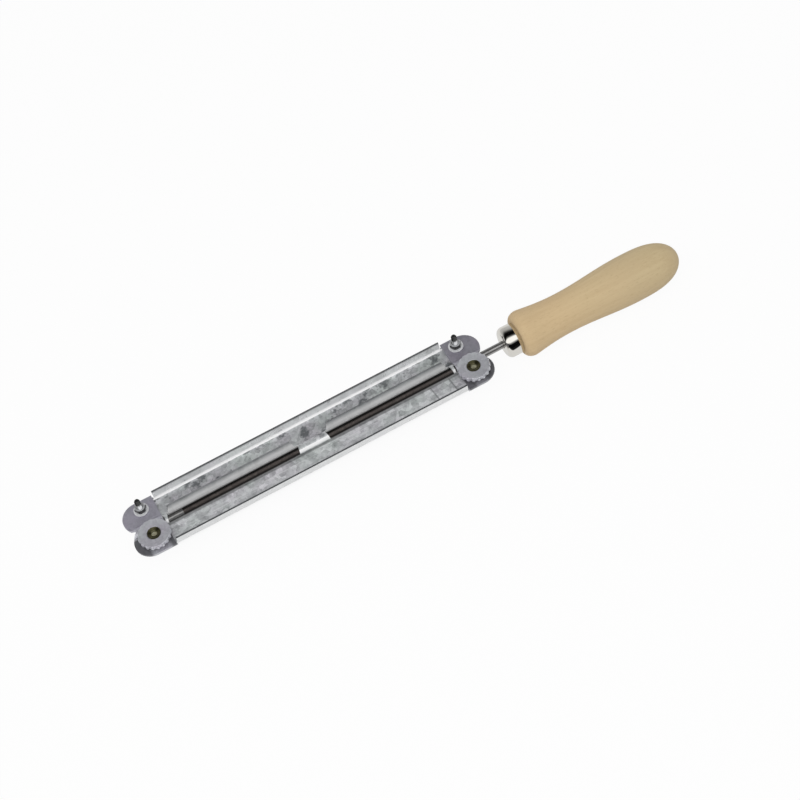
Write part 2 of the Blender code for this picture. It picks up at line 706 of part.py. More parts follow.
def make_handle(axis):
    """The beech handle: a nose for the ferrule, a bead, a waist and a belly, bored for the tang."""
    front = HANDLE_FRONT_X
    nose = FERRULE_RADIUS - FERRULE_WALL - GAP
    nose_front = FERRULE_FRONT_X + FERRULE_WALL + 2 * GAP
    nose_edge = nose_front + FERRULE_FRONT_ROUND
    bead_x = front + BEAD_SHARE * HANDLE_LENGTH
    bore_end = FERRULE_FRONT_X + FERRULE_WALL + TANG_LENGTH + 2 * GAP
    profile = []
    for station in range(HANDLE_STATIONS + 1):
        share = 1 - (1 - BEAD_SHARE) * smooth_step(station / HANDLE_STATIONS)
        profile.append((handle_radius(share), front + share * HANDLE_LENGTH))
    bead_round = HANDLE_BEAD_RADIUS - HANDLE_FACE_RADIUS
    for step in range(1, BEAD_STEPS + 1):
        angle = math.pi / 2 * step / BEAD_STEPS
        radius = HANDLE_FACE_RADIUS + bead_round * math.cos(angle)
        profile.append((radius, bead_x - (bead_x - front) * math.sin(angle)))
    profile += [
        (nose, front),
        (nose, nose_edge),
        (nose - FERRULE_FRONT_ROUND, nose_front),
        (HANDLE_BORE_RADIUS, nose_front),
        (HANDLE_BORE_RADIUS, nose_front + FILE_RADIUS),
        (HANDLE_BORE_TIP_RADIUS, bore_end),
        (0, bore_end),
    ]
    return along_x(turned("handle", profile, BEECH, axis, steps=FINE_STEPS))


def make_guide():
    """Builds every piece under one empty that sets the part on its base."""
    root = new_empty("guide_frame", (BASE_X, 0, BASE_Z))
    make_plate(root)
    for side, side_name in ((-1, "left"), (1, "right")):
        axis = new_empty(f"{side_name}_rivet_axis", (side * RIVET_X, RIVET_Y, 0), root)
        make_cap(side, side_name, root)
        make_jaw(side, side_name, axis)
        make_rivet(side_name, axis)
        make_disc(side_name, axis)
        make_spacer(side_name, axis)
        make_screw(side, side_name, root)
        make_washer(side, side_name, root)
        make_nut(side, side_name, root)
    file_axis = new_empty("file_axis", (0, 0, FILE_Z), root)
    make_file(file_axis)
    make_ferrule(file_axis)
    make_handle(file_axis)


make_guide()
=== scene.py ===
"""Dresses the chainsaw file guide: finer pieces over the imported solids, their finishes,
and a plain studio.

The guide lies with its file along +X, the toe at -X and the wooden handle at +X.
"""

import json
import math

import bpy
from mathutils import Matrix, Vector


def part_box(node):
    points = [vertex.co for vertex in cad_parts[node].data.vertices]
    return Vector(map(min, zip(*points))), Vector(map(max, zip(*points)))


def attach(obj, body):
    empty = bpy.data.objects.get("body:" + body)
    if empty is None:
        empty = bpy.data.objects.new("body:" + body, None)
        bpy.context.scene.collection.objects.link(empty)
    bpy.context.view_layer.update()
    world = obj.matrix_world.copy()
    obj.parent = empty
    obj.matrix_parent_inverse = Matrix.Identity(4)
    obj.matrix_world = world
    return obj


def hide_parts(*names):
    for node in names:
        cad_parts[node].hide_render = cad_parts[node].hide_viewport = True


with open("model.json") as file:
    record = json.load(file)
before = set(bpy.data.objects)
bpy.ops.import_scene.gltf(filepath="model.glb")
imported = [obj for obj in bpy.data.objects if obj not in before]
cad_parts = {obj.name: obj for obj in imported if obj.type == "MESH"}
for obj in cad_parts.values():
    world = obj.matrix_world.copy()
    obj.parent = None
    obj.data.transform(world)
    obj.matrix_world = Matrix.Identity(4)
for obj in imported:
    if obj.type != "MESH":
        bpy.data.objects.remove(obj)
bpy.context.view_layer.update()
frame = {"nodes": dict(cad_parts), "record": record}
NODES = frame["nodes"]
BODY_OF = {
    node: body for body, members in frame["record"]["behaviour"]["bodies"].items() for node in members
}
SLOT_OF = {part["node"]: part["material_slot"] for part in frame["record"]["subparts"]}

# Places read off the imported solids, in metres
SHEET = 0.0008
TOE_LENGTH = 0.0188
FILE_LOW, FILE_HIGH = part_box("round_file")
FILE_Y = (FILE_LOW.y + FILE_HIGH.y) / 2
FILE_Z = (FILE_LOW.z + FILE_HIGH.z) / 2
FILE_RADIUS = (FILE_HIGH.y - FILE_LOW.y) / 2
FILE_CUT_START = FILE_LOW.x + TOE_LENGTH
FILE_CUT_END = 0.0295
FLOOR_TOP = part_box("guide_plate")[0].z + SHEET
PLATE_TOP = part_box("guide_plate")[1].z
RIVET_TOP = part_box("left_hollow_rivet")[1].z

# Where the plate's finishes, painted highlights and painted shade begin and end, across the file's
# plane
SIDES_MEET_Y = (-0.002, 0.002)
NEAR_STRIP_END_Y = (-0.003, -0.002)
NEAR_RIM_Y = (-0.0038, -0.0029)
RIDGE_Y = (-0.0025, -0.0016)
FLAP_FOOT_Y = (0.0029, 0.0032)
FLAP_START_Y = (0.0028, 0.0030)
INNER_HALF = (0.0080, 0.0082)
FLANGE_FOOT = (0.011, 0.012)
FLANGE_WALL = (0.012, 0.013)
FAR_FOLD_Y = (0.0143, 0.0151)

# The same by height
RAISED_Z = (FLOOR_TOP + 0.0001, FLOOR_TOP + 0.0005)
FOLD_Z = (FLOOR_TOP + 0.0008, FLOOR_TOP + 0.0014)
FLAP_SHADE_Z = (0.0150, 0.0176)
FLAP_LIP_Z = (0.01764, 0.01770)
EDGE_Z = (PLATE_TOP - 0.00022, PLATE_TOP - 0.00014)
FAR_FLANGE_DARK_Z = (PLATE_TOP - 0.0012, PLATE_TOP - 0.0004)

# The two lines stamped across the near strip
STAMPED_LINES_X = (0.0105, 0.0212)
STAMPED_LINES_Y = (-0.0126, -0.0036)

# Where the fittings' finishes and painted shade begin and end
CAP_Z = (0.0166, 0.0167)
CAP_STEP_Z = (0.01515, 0.01525)
DISC_SHADE_Z = (0.0154, 0.0155)
DISC_SHADE_Y = (-0.0044, -0.0036)
ENDS_PART_X = (-0.06, -0.05)
CAP_REACH = (0.020, 0.021)
DARK_THREAD_Z = (0.0204, 0.0216)
NUT_FOOT_Z = (0.0160, 0.0164)

# Which way the file's two sides lie that are painted dark as shade, in Y and Z
PAINTED_SHADE_SIDE_WAY = (0.823, 0.567)


def middle(node):
    """The middle of a node's box."""
    low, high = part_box(node)
    return (low + high) / 2


def foot_place(node):
    """A node's middle, at height zero."""
    return Vector((middle(node).x, middle(node).y, 0))


# ---------------------------------------------------------------- node groups and materials


class Nodes:
    """Short calls for building a node tree."""

    def __init__(self, tree):
        self.tree = tree

    def add(self, kind, **settings):
        node = self.tree.nodes.new(kind)
        for name, value in settings.items():
            setattr(node, name, value)
        return node

    def join(self, source, target):
        self.tree.links.new(source, target)

    def feed(self, socket, value):
        """Links an output to a socket, or sets the socket's own value."""
        if isinstance(value, bpy.types.NodeSocket):
            self.join(value, socket)
        else:
            socket.default_value = value

    def math(self, operation, first, second=0.0, clamp=False):
        node = self.add("ShaderNodeMath", operation=operation, use_clamp=clamp)
        self.feed(node.inputs[0], first)
        self.feed(node.inputs[1], second)
        return node.outputs[0]

    def mix(self, share, first, second, blend="MIX"):
        node = self.add("ShaderNodeMix", data_type="RGBA", blend_type=blend)
        self.feed(node.inputs["Factor"], share)
        self.feed(node.inputs[6], first)
        self.feed(node.inputs[7], second)
        return node.outputs[2]

    def times(self, first, *others):
        """A product of two or more values."""
        for other in others:
            first = self.math("MULTIPLY", first, other)
        return first

    def larger(self, first, second):
        return self.math("MAXIMUM", first, second)

    def scale_to(self, value, low, high, to_low, to_high):
        """Moves a value from one range to another, held at its ends."""
        node = self.add("ShaderNodeMapRange")
        self.feed(node.inputs["Value"], value)
        labels = ("From Min", "From Max", "To Min", "To Max")
        for label, amount in zip(labels, (low, high, to_low, to_high)):
            self.feed(node.inputs[label], amount)
        return node.outputs[0]

    def rise(self, value, span, top=1.0):
        """A mask that goes from 0 to its top over a span."""
        return self.scale_to(value, *span, 0.0, top)

    def fall(self, value, span, top=1.0):
        """A mask that goes from its top to 0 over a span."""
        return self.scale_to(value, *span, top, 0.0)

    def between(self, value, span, soft):
        """A mask that is 1 within a span, with soft ends."""
        low, high = span
        return self.times(self.rise(value, (low - soft, low)), self.fall(value, (high, high + soft)))

    def place(self, vector, scale, turn=(0, 0, 0)):
        """Stretches and turns a texture's coordinates."""
        node = self.add("ShaderNodeMapping")
        self.join(vector, node.inputs["Vector"])
        node.inputs["Scale"].default_value = scale
        node.inputs["Rotation"].default_value = turn
        return node.outputs[0]

    def noise(self, vector, scale, detail=2.0, roughness=0.5, distortion=0.0):
        node = self.add("ShaderNodeTexNoise")
        self.join(vector, node.inputs["Vector"])
        self.feed(node.inputs["Scale"], scale)
        node.inputs["Detail"].default_value = detail
        node.inputs["Roughness"].default_value = roughness
        node.inputs["Distortion"].default_value = distortion
        return node.outputs["Fac"]

    def cells(self, vector, scale):
        """Two random numbers for each cell of a Voronoi pattern."""
        node = self.add("ShaderNodeTexVoronoi", feature="F1")
        self.join(vector, node.inputs["Vector"])
        self.feed(node.inputs["Scale"], scale)
        parts = self.add("ShaderNodeSeparateColor")
        self.join(node.outputs["Color"], parts.inputs[0])
        return parts.outputs["Red"], parts.outputs["Green"]

    def axes(self, vector):
        """The three parts of a vector."""
        node = self.add("ShaderNodeSeparateXYZ")
        self.join(vector, node.inputs[0])
        return node.outputs[0], node.outputs[1], node.outputs[2]


def new_group(name, inputs, outputs):
    """A shader node group with a vector and named numbers as inputs, and named numbers as outputs."""
    tree = bpy.data.node_groups.new(name, "ShaderNodeTree")
    tree.interface.new_socket("Vector", in_out="INPUT", socket_type="NodeSocketVector")
    for label, value in inputs.items():
        socket = tree.interface.new_socket(label, in_out="INPUT", socket_type="NodeSocketFloat")
        socket.default_value = value
    for label in outputs:
        tree.interface.new_socket(label, in_out="OUTPUT", socket_type="NodeSocketFloat")
    nodes = Nodes(tree)
    return tree, nodes, nodes.add("NodeGroupInput"), nodes.add("NodeGroupOutput")


def make_zinc_bloom():
    """Crystals of a zinc coat, large, small and clouded: a tone, a grain and a tint."""
    tree, nodes, given, made = new_group(
        "zinc_bloom",
        {"Crystals per metre": 330.0, "Clouds per metre": 90.0},
        ["Tone", "Grain", "Tint"],
    )
    where = given.outputs["Vector"]
    many = given.outputs["Crystals per metre"]
    bend = nodes.noise(where, many, detail=3.0).node
    spread = nodes.add("ShaderNodeVectorMath", operation="MULTIPLY_ADD")
    nodes.join(bend.outputs["Color"], spread.inputs[0])
    spread.inputs[1].default_value = (0.0024, 0.0024, 0.0024)
    nodes.join(where, spread.inputs[2])
    coarse = nodes.cells(spread.outputs[0], many)
    fine = nodes.cells(spread.outputs[0], nodes.times(many, 2.3))
    cloud = nodes.noise(where, given.outputs["Clouds per metre"], 4.0, 0.6, 0.6)
    crystals = nodes.math("ADD", nodes.times(coarse[0], 0.45), nodes.times(fine[0], 0.25))
    tone = nodes.math("ADD", crystals, nodes.rise(cloud, (0.3, 0.7), 0.3))
    tint = nodes.rise(nodes.noise(where, 70.0), (0.35, 0.65))
    for label, value in (("Tone", tone), ("Grain", coarse[1]), ("Tint", tint)):
        nodes.join(value, made.inputs[label])
    return tree


def make_fine_scratches():
    """Thin marks that run mostly along X: a mask."""
    tree, nodes, given, made = new_group("fine_scratches", {"Amount": 0.5}, ["Mask"])
    where = given.outputs["Vector"]
    long_way = nodes.place(where, scale=(60, 2600, 2600))
    marks = nodes.noise(long_way, 1.0, detail=3.0, roughness=0.6)
    slant = nodes.place(where, scale=(900, 90, 900), turn=(0, 0, 0.7))
    cross = nodes.noise(slant, 2.0)
    both = nodes.larger(nodes.rise(marks, (0.55, 0.75)), nodes.rise(cross, (0.6, 0.8), 0.7))
    mask = nodes.math("MULTIPLY", both, given.outputs["Amount"], clamp=True)
    nodes.join(mask, made.inputs["Mask"])
    return tree


def make_handling_film():
    """Faint smears left by hands: a mask."""
    tree, nodes, given, made = new_group("handling_film", {"Size per metre": 70.0}, ["Mask"])
    size = given.outputs["Size per metre"]
    smear = nodes.noise(given.outputs["Vector"], size, detail=5.0, roughness=0.65, distortion=1.2)
    nodes.join(nodes.rise(smear, (0.4, 0.75)), made.inputs["Mask"])
    return tree


ZINC_BLOOM = make_zinc_bloom()
FINE_SCRATCHES = make_fine_scratches()
HANDLING_FILM = make_handling_film()


def new_material(name, metallic=0.0):
    """A material with one Principled shader, its nodes helper and its Object coordinates."""
    material = bpy.data.materials.new(name)
    material.use_nodes = True
    nodes = Nodes(material.node_tree)
    shader = material.node_tree.nodes["Principled BSDF"]
    shader.inputs["Metallic"].default_value = metallic
    where = nodes.add("ShaderNodeTexCoord").outputs["Object"]
    return material, nodes, shader, where


def use_group(nodes, tree, where, **values):
    """Places a node group and feeds it."""
    node = nodes.add("ShaderNodeGroup", node_tree=tree)
    nodes.join(where, node.inputs["Vector"])
    for label, value in values.items():
        node.inputs[label.replace("_", " ")].default_value = value
    return node


def bump(nodes, shader, height, strength, distance):
    """Feeds a height to the shader's normal through a Bump node."""
    node = nodes.add("ShaderNodeBump")
    node.inputs["Strength"].default_value = strength
    node.inputs["Distance"].default_value = distance
    nodes.join(height, node.inputs["Height"])
    nodes.join(node.outputs[0], shader.inputs["Normal"])


def srgb(red, green, blue):
    """A colour written as 0 to 255 screen values, as the shader's linear colour."""
    linear = []
    for value in (red, green, blue):
        share = value / 255
        linear.append(share / 12.92 if value <= 10 else ((share + 0.055) / 1.055) ** 2.4)
    return (*linear, 1.0)


def grey(level):
    """A linear grey."""
    return (level, level, level, 1.0)


def zinc_colour(nodes, where, dark, light, crystals, clouds, cast):
    """A mottled zinc colour with a slight green and violet cast, and its bloom node."""
    bloom = use_group(
        nodes, ZINC_BLOOM, where, Crystals_per_metre=crystals, Clouds_per_metre=clouds
    )
    colour = nodes.mix(bloom.outputs["Tone"], dark, light)
    tint = nodes.mix(bloom.outputs["Tint"], (0.90, 1.0, 0.97, 1), (0.98, 0.94, 1.04, 1))
    return nodes.mix(cast, colour, tint, "MULTIPLY"), bloom


def make_strips(nodes, where, y):
    """The plate's flat strips: zinc crystals, light rubs on the near one, blotches on both."""
    strips, bloom = zinc_colour(
        nodes, where, srgb(160, 161, 162), srgb(255, 255, 255), 330.0, 110.0, 0.55
    )
    rubs = nodes.noise(nodes.place(where, scale=(16, 1200, 1)), 1.0)
    rubs = nodes.times(nodes.rise(rubs, (0.54, 0.68), 0.6), nodes.fall(y, NEAR_STRIP_END_Y))
    strips = nodes.mix(rubs, strips, srgb(240, 242, 243))
    blotch = nodes.rise(nodes.noise(where, 170.0, 4.0, 0.6), (0.53, 0.62), 0.8)
    blotch = nodes.times(blotch, nodes.scale_to(y, *SIDES_MEET_Y, 0.36, 1.0))
    return nodes.mix(blotch, strips, srgb(100, 104, 107)), bloom


def stamped_line(nodes, x, y, place):
    """A thin line across the near strip."""
    leaning = nodes.math("ADD", x, nodes.times(y, 0.08))
    line = nodes.between(leaning, (place - 0.0007, place - 0.0003), 0.0003)
    return nodes.times(line, nodes.between(y, STAMPED_LINES_Y, 0.0003), 0.6)


def make_galvanised():
    """Galvanised sheet: strips, flanges painted pale as lit, flaps with painted light and shade, dark
    edges, and painted highlights on the folds and the ridge.
    """
    material, nodes, shader, where = new_material("galvanised_sheet")
    x, y, z = nodes.axes(where)
    across = nodes.math("ABSOLUTE", y)
    colour, bloom = make_strips(nodes, where, y)
    raised = nodes.rise(z, RAISED_Z)
    flat = nodes.math("SUBTRACT", 1.0, raised)
    inner = nodes.fall(across, INNER_HALF)

    # Painted light: the upright flanges are painted paler than the flat strips, for the light they
    # catch.
    flange = nodes.times(raised, nodes.rise(across, FLANGE_FOOT, 0.8))
    colour = nodes.mix(flange, colour, srgb(246, 247, 247))

    flap = nodes.times(raised, inner, nodes.rise(y, FLAP_START_Y))
    flap = nodes.larger(flap, nodes.between(y, FLAP_FOOT_Y, 0.0001))
    # Painted light and shade: the flaps are painted near white at the foot, against the file's shade
    # there, and darker towards the top.
    flap_painted_light_and_shade = nodes.mix(nodes.rise(z, FLAP_SHADE_Z), srgb(250, 250, 250), srgb(124, 126, 128))
    colour = nodes.mix(nodes.times(flap, 0.85), colour, flap_painted_light_and_shade)

    lines = [stamped_line(nodes, x, y, place) for place in STAMPED_LINES_X]
    colour = nodes.mix(nodes.times(nodes.math("ADD", *lines), flat), colour, srgb(116, 118, 120))
    # Painted shade: the flat sheet along each window's near edge is darkened, as the shade at that
    # edge.
    near_rim_painted_shade = nodes.times(nodes.between(y, NEAR_RIM_Y, 0.0007), flat, 0.6)
    colour = nodes.mix(near_rim_painted_shade, colour, srgb(70, 71, 72))

    edge = nodes.times(nodes.rise(z, EDGE_Z), nodes.rise(across, FLANGE_WALL))
    lip = nodes.times(nodes.rise(z, FLAP_LIP_Z, 0.6), inner)
    colour = nodes.mix(nodes.larger(edge, lip), colour, srgb(92, 94, 96))
    # The far flange is darker towards its top.
    far_flange_top_darkening = nodes.times(nodes.rise(z, FAR_FLANGE_DARK_Z, 0.55), nodes.rise(y, FLANGE_WALL))
    colour = nodes.mix(far_flange_top_darkening, colour, srgb(92, 94, 96))

    # Painted highlights: the far fold and the ridge over the file are painted white and not metallic,
    # as the light shining off them.
    fold_highlight = nodes.times(nodes.between(y, FAR_FOLD_Y, 0.0003), nodes.fall(z, FOLD_Z))
    ridge = nodes.times(nodes.between(y, RIDGE_Y, 0.0003), raised)
    painted_highlight = nodes.larger(fold_highlight, ridge)
    nodes.join(nodes.mix(painted_highlight, colour, grey(1.0)), shader.inputs["Base Color"])

    metal = nodes.mix(flange, nodes.scale_to(y, *SIDES_MEET_Y, 0.33, 0.54), grey(0.32))
    metal = nodes.mix(flap, metal, grey(0.1))
    nodes.join(nodes.mix(painted_highlight, metal, grey(0.0)), shader.inputs["Metallic"])
    rough = nodes.scale_to(bloom.outputs["Grain"], 0.0, 1.0, 0.36, 0.5)
    rough = nodes.math("SUBTRACT", rough, nodes.times(flange, 0.15))
    nodes.join(rough, shader.inputs["Roughness"])
    bump(nodes, shader, bloom.outputs["Tone"], 0.12, 0.00005)
    return material


def beside(nodes, x, node, reach, inside):
    """A mask of painted shade over one end's cap, strong away from the middle of a node."""
    away = nodes.math("ABSOLUTE", nodes.math("SUBTRACT", x, middle(node).x))
    outer = nodes.scale_to(away, reach - 0.0008, reach + 0.0008, inside, 0.9)
    return nodes.times(outer, nodes.fall(away, CAP_REACH))


def make_zinc_plated():
    """Zinc-plated caps, discs, jaws and spacers, with painted shade on the far lobes and round the
    discs.
    """
    material, nodes, shader, where = new_material("zinc_plated_steel", metallic=0.55)
    colour, bloom = zinc_colour(
        nodes, where, srgb(194, 192, 199), srgb(232, 230, 236), 520.0, 60.0, 0.5
    )
    marks = use_group(nodes, FINE_SCRATCHES, where, Amount=0.3)
    colour = nodes.mix(marks.outputs["Mask"], colour, srgb(232, 232, 234))
    x, y, z = nodes.axes(where)
    # Painted shade: the caps' far lobes are darkened, more at the right end than at the left.
    far_lobe_painted_shade = nodes.times(nodes.fall(z, CAP_Z), nodes.rise(y, SIDES_MEET_Y))
    tone = nodes.mix(nodes.rise(x, ENDS_PART_X), (0.76, 0.75, 0.79, 1), (0.62, 0.61, 0.64, 1))
    colour = nodes.mix(far_lobe_painted_shade, colour, nodes.mix(1.0, colour, tone, "MULTIPLY"))
    # Painted shade: the caps are darkened round the grip discs, on the step under each disc and on the
    # walls, where the discs shade them.
    aside = nodes.larger(
        beside(nodes, x, "left_hollow_rivet", 0.0052, 0.2),
        beside(nodes, x, "right_hollow_rivet", 0.0034, 0.5),
    )
    disc_painted_shade = nodes.times(
        nodes.larger(nodes.rise(z, CAP_STEP_Z, 0.9), aside),
        nodes.fall(y, DISC_SHADE_Y, 0.85),
        nodes.fall(z, DISC_SHADE_Z),
    )
    nodes.join(nodes.mix(disc_painted_shade, colour, srgb(72, 72, 74)), shader.inputs["Base Color"])
    rough = nodes.scale_to(bloom.outputs["Grain"], 0.0, 1.0, 0.36, 0.42)
    nodes.join(rough, shader.inputs["Roughness"])
    bump(nodes, shader, bloom.outputs["Tone"], 0.06, 0.00005)
    return material


def make_passivated():
    """Olive passivated rivets, with painted highlights down the throat and in the bore."""
    material, nodes, shader, where = new_material("yellow_passivated_steel")
    film = use_group(nodes, HANDLING_FILM, where, Size_per_metre=500.0).outputs["Mask"]
    z = nodes.axes(where)[2]
    olive = nodes.mix(film, srgb(70, 68, 48), srgb(112, 108, 78))
    # Painted highlights: the throat is painted pale and the bore bright and less metallic, as the
    # light seen inside the rivet.
    throat_painted_highlight = nodes.fall(z, (RIVET_TOP - 0.0011, RIVET_TOP - 0.0007), 0.7)
    olive = nodes.mix(throat_painted_highlight, olive, srgb(186, 184, 158))
    bore_painted_highlight = nodes.mix(film, srgb(226, 224, 206), srgb(206, 203, 180))
    inside = nodes.between(z, (0.0100, RIVET_TOP - 0.0018), 0.0005)
    nodes.join(nodes.mix(inside, olive, bore_painted_highlight), shader.inputs["Base Color"])
    nodes.join(nodes.scale_to(inside, 0.0, 1.0, 0.85, 0.2), shader.inputs["Metallic"])
    shader.inputs["Roughness"].default_value = 0.3
    return material


def make_fastener():
    """Bright screws, washers and nuts, with dark thread ends and painted shade on the nuts' fronts."""
    material, nodes, shader, where = new_material("fastener_steel")
    marks = use_group(nodes, FINE_SCRATCHES, where, Amount=0.5).outputs["Mask"]
    film = use_group(nodes, HANDLING_FILM, where, Size_per_metre=400.0).outputs["Mask"]
    z = nodes.axes(where)[2]
    colour = nodes.mix(film, srgb(230, 231, 233), srgb(200, 201, 204))
    # Painted shade: the nuts' front faces, marked in their attribute, are painted near black.
    front_shade_mask = nodes.add("ShaderNodeAttribute", attribute_name="front_painted_shade").outputs["Fac"]
    dark = nodes.larger(front_shade_mask, nodes.rise(z, DARK_THREAD_Z, 0.95))
    nodes.join(nodes.mix(dark, colour, srgb(30, 30, 29)), shader.inputs["Base Color"])
    nodes.join(nodes.scale_to(z, *NUT_FOOT_Z, 0.15, 0.6), shader.inputs["Metallic"])
    nodes.join(nodes.scale_to(marks, 0, 1, 0.18, 0.34), shader.inputs["Roughness"])
    return material


def make_file_steel():
    """The file: ground toe and shank, dark cut steel between, and painted shade on the toe, the cut's
    far half and its two sides up to the shank.
    """
    material, nodes, shader, where = new_material("file_steel", metallic=0.85)
    film = use_group(nodes, HANDLING_FILM, where, Size_per_metre=220.0).outputs["Mask"]
    x, y, z = nodes.axes(where)
    toothed = nodes.between(x, (FILE_CUT_START, FILE_CUT_END), 0.0003)
    # Painted shade: the ground toe is painted a little darker than the shank, for the shade inside the
    # window round it.
    toe = nodes.fall(x, (FILE_CUT_START, FILE_CUT_START + 0.001), 0.2)
    ground = nodes.mix(film, srgb(160, 159, 158), srgb(182, 181, 179))
    ground = nodes.mix(toe, ground, srgb(70, 70, 71))
    cut_steel = nodes.mix(film, srgb(104, 97, 94), srgb(130, 122, 117))
    # Painted shade: the cut's far half is painted near black, as the shade between the file and the
    # flap.
    far_half_painted_shade = nodes.rise(y, (FILE_Y - 0.0013, FILE_Y - 0.0003), 0.75)
    cut_steel = nodes.mix(far_half_painted_shade, cut_steel, srgb(30, 29, 29))
    steel = nodes.mix(toothed, ground, cut_steel)
    # Painted shade: the cut is painted near black along both sides, as their dark reflections; this
    # paint turns with the file.
    across = nodes.times(nodes.math("SUBTRACT", y, FILE_Y), PAINTED_SHADE_SIDE_WAY[0] / FILE_RADIUS)
    upward = nodes.times(nodes.math("SUBTRACT", z, FILE_Z), PAINTED_SHADE_SIDE_WAY[1] / FILE_RADIUS)
    aside = nodes.math("ABSOLUTE", nodes.math("ADD", across, upward))
    starts = nodes.scale_to(toothed, 0.0, 1.0, 0.49, 0.28)
    ends = nodes.scale_to(toothed, 0.0, 1.0, 0.77, 0.62)
    before_shank = nodes.fall(x, (FILE_CUT_END, FILE_CUT_END + 0.0003))
    sides = nodes.times(nodes.rise(aside, (starts, ends), 0.92), before_shank)
    nodes.join(nodes.mix(sides, steel, srgb(26, 25, 25)), shader.inputs["Base Color"])
    nodes.join(nodes.scale_to(toothed, 0.0, 1.0, 0.3, 0.42), shader.inputs["Roughness"])
    return material


def make_nickel():
    """The polished ferrule."""
    material, nodes, shader, where = new_material("nickel_plated_steel", metallic=1.0)
    film = use_group(nodes, HANDLING_FILM, where, Size_per_metre=120.0).outputs["Mask"]
    colour = nodes.mix(film, srgb(238, 235, 228), srgb(228, 225, 217))
    nodes.join(colour, shader.inputs["Base Color"])
    nodes.join(nodes.scale_to(film, 0, 1, 0.03, 0.08), shader.inputs["Roughness"])
    return material


def make_beech():
    """Beech with its growth lines, fine dashes and warm patches, a little cooler by its far end."""
    material, nodes, shader, where = new_material("beech_wood")
    along = nodes.place(where, scale=(14, 420, 420))
    growth = nodes.noise(along, 1.0, detail=4.0, roughness=0.6, distortion=0.5)
    flecks = nodes.place(where, scale=(420, 3200, 3200))
    dashes = nodes.rise(nodes.noise(flecks, 1.0, detail=1.0, roughness=0.4), (0.62, 0.74))
    patch = nodes.rise(nodes.noise(where, 26.0), (0.3, 0.7), 0.5)
    wood = nodes.mix(nodes.rise(growth, (0.3, 0.7)), srgb(206, 180, 138), srgb(218, 194, 152))
    wood = nodes.mix(patch, wood, srgb(212, 184, 144))
    wood = nodes.mix(nodes.times(dashes, 0.35), wood, srgb(172, 142, 100))
    far_end = nodes.rise(nodes.axes(where)[0], (0.085, 0.130))
    wood = nodes.mix(far_end, wood, (0.92, 0.965, 0.985, 1), "MULTIPLY")
    nodes.join(wood, shader.inputs["Base Color"])
    nodes.join(nodes.scale_to(growth, 0.3, 0.7, 0.55, 0.65), shader.inputs["Roughness"])
    shader.inputs["Specular IOR Level"].default_value = 0.35
    bump(nodes, shader, growth, 0.1, 0.0001)
    return material


# Every finish on the object, by the record's slot name
MATERIALS = {
    "galvanised_sheet": make_galvanised(),
    "zinc_plated_steel": make_zinc_plated(),
    "yellow_passivated_steel": make_passivated(),
    "fastener_steel": make_fastener(),
    "file_steel": make_file_steel(),
    "nickel_plated_steel": make_nickel(),
    "beech_wood": make_beech(),
}


# ---------------------------------------------------------------- working with pieces

MERGE = 0.000002


def take(piece):
    """Makes one piece the only selected and active one."""
    bpy.ops.object.select_all(action="DESELECT")
    piece.select_set(True)
    bpy.context.view_layer.objects.active = piece


def choose_corners(piece, test):
    """Goes into edit mode with only the vertices that pass a test selected."""
    bpy.ops.object.mode_set(mode="EDIT")
    bpy.context.tool_settings.mesh_select_mode = (True, False, False)
    bpy.ops.mesh.select_all(action="DESELECT")
    bpy.ops.object.mode_set(mode="OBJECT")
    for corner in piece.data.vertices:
        corner.select = test(corner)
    bpy.ops.object.mode_set(mode="EDIT")


def close_up(piece):
    """Merges doubles and turns all faces outwards."""
    take(piece)
    bpy.ops.object.mode_set(mode="EDIT")
    bpy.ops.mesh.select_all(action="SELECT")
    bpy.ops.mesh.remove_doubles(threshold=MERGE)
    bpy.ops.mesh.normals_make_consistent(inside=False)
    bpy.ops.object.mode_set(mode="OBJECT")


def place_in_mesh(piece):
    """Puts a piece's place, turn and size into its mesh."""
    take(piece)
    bpy.ops.object.transform_apply(location=True, rotation=True, scale=True)


def draw_line(name, points):
    """Draws a line from point to point, one extruded vertex at a time."""
    bpy.ops.object.select_all(action="DESELECT")
    bpy.ops.mesh.primitive_plane_add(size=0.001, location=points[0])
    line = bpy.context.active_object
    line.name = name
    bpy.ops.object.mode_set(mode="EDIT")
    bpy.context.tool_settings.mesh_select_mode = (True, False, False)
    bpy.ops.mesh.select_all(action="SELECT")
    bpy.ops.mesh.merge(type="CENTER")
    for before, after in zip(points, points[1:]):
        bpy.ops.mesh.extrude_region_move(TRANSFORM_OT_translate={"value": after - before})
    bpy.ops.object.mode_set(mode="OBJECT")
    place_in_mesh(line)
    return line


def turn_piece(name, outline, centre, axis, sides=96, ring=False):
    """Turns an outline of (place along the axis, radius) points, as on a lathe."""
    along = Vector(axis)
    out = Vector((0, 0, 1)) if along.x else Vector((1, 0, 0))
    points = [Vector(centre) + along * step + out * radius for step, radius in outline]
    if ring:
        points.append(points[0].copy())
    piece = draw_line(name, points)
    bpy.ops.object.mode_set(mode="EDIT")
    bpy.ops.mesh.select_all(action="SELECT")
    bpy.ops.mesh.spin(steps=sides, angle=2 * math.pi, center=centre, axis=axis)
    bpy.ops.object.mode_set(mode="OBJECT")
    close_up(piece)
    return piece


def apply_modifiers(piece):
    """Finishes every modifier on a piece."""
    take(piece)
    for modifier in list(piece.modifiers):
        bpy.ops.object.modifier_apply(modifier=modifier.name)


def cut(piece, tool, operation="DIFFERENCE"):
    """Cuts a piece with another, which is used up."""
    modifier = piece.modifiers.new("cut", "BOOLEAN")
    modifier.operation = operation
    modifier.object = tool
    apply_modifiers(piece)
    bpy.data.objects.remove(tool)


def join(piece, others):
    """Joins other pieces' meshes into one piece."""
    take(piece)
    for other in others:
        other.select_set(True)
    bpy.ops.object.join()
    return piece


